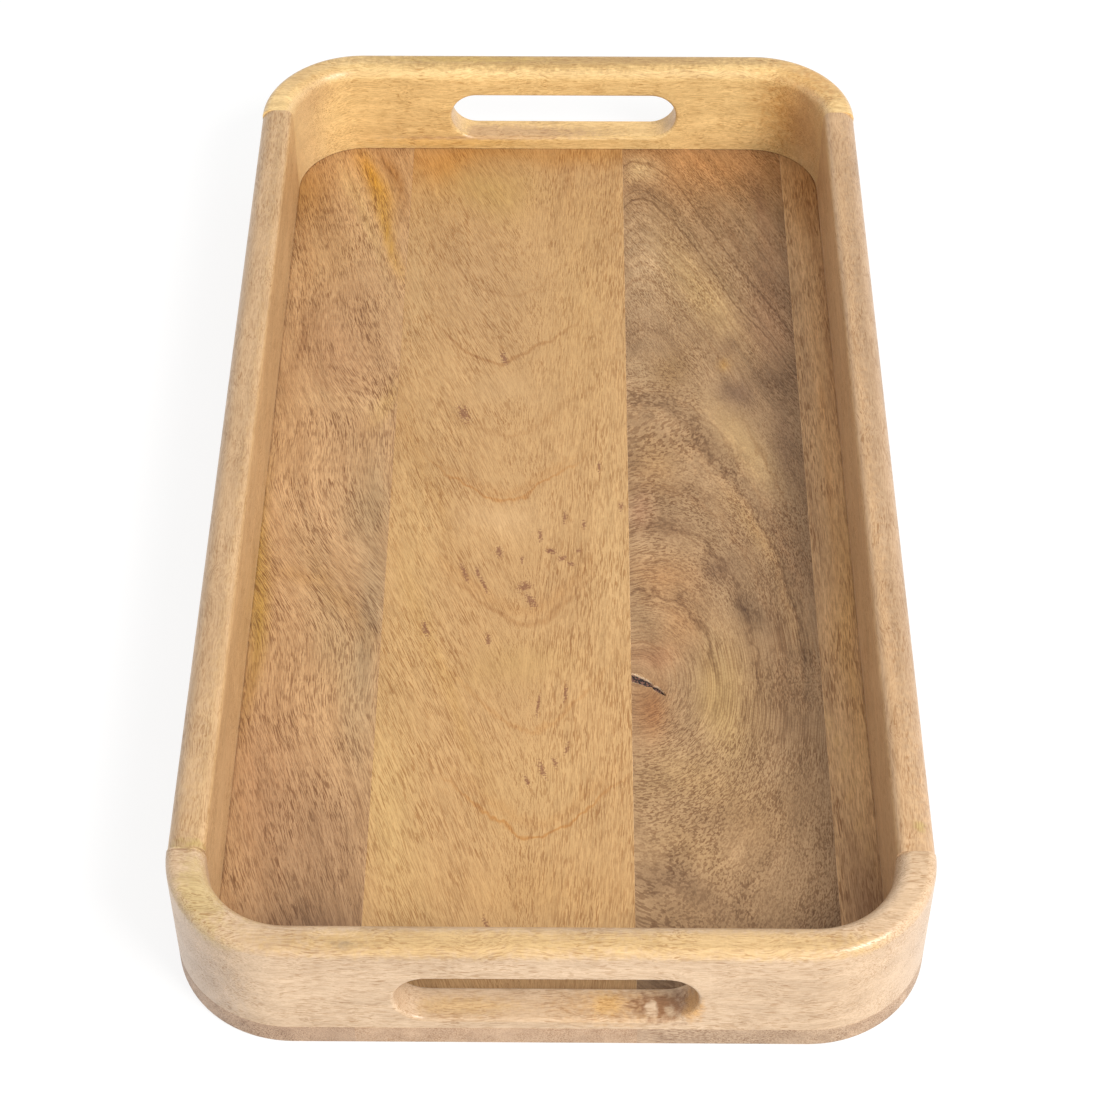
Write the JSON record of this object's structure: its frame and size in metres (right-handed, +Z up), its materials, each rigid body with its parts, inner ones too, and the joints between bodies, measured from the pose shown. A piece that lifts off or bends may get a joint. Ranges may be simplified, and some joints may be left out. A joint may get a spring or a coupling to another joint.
{
  "type": "serving tray",
  "caption": "Rectangular solid wood serving tray with rounded corners, a low rounded wall all round and a hand slot through each end.",
  "frame": {"origin": "centre of the underside, on the surface that the tray stands on", "axes": "+Z up, +Y along the tray's length from the front hand slot to the rear one, +X across it to the right"},
  "size_m": [0.256, 0.481, 0.052],
  "materials": {
    "base_board_left": "pinkish tan hardwood, flat-sawn grain, clear satin lacquer",
    "base_board_centre": "honey-coloured hardwood, fine open pores, clear satin lacquer",
    "base_board_right": "grey-brown swirling hardwood with a small knot, clear satin lacquer",
    "base_board_edge_strip": "grey-brown straight-grained hardwood, clear satin lacquer",
    "end_rails": "pale honey hardwood, grain across the tray, clear satin lacquer",
    "side_rails": "pale pinkish hardwood, grain along the tray, clear satin lacquer",
    "dowels": "plain beech, unfinished"
  },
  "bodies": {
    "root": {"base_board_left": "base_board_left", "base_board_centre": "base_board_centre", "base_board_right": "base_board_right", "base_board_edge_strip": "base_board_edge_strip", "end_rail_front": "end_rails", "end_rail_rear": "end_rails", "side_rail_left": "side_rails", "side_rail_right": "side_rails", "dowel_front_left_lower": "dowels", "dowel_front_left_upper": "dowels", "dowel_front_right_lower": "dowels", "dowel_front_right_upper": "dowels", "dowel_rear_left_lower": "dowels", "dowel_rear_left_upper": "dowels", "dowel_rear_right_lower": "dowels", "dowel_rear_right_upper": "dowels"}
  },
  "joints": []
}
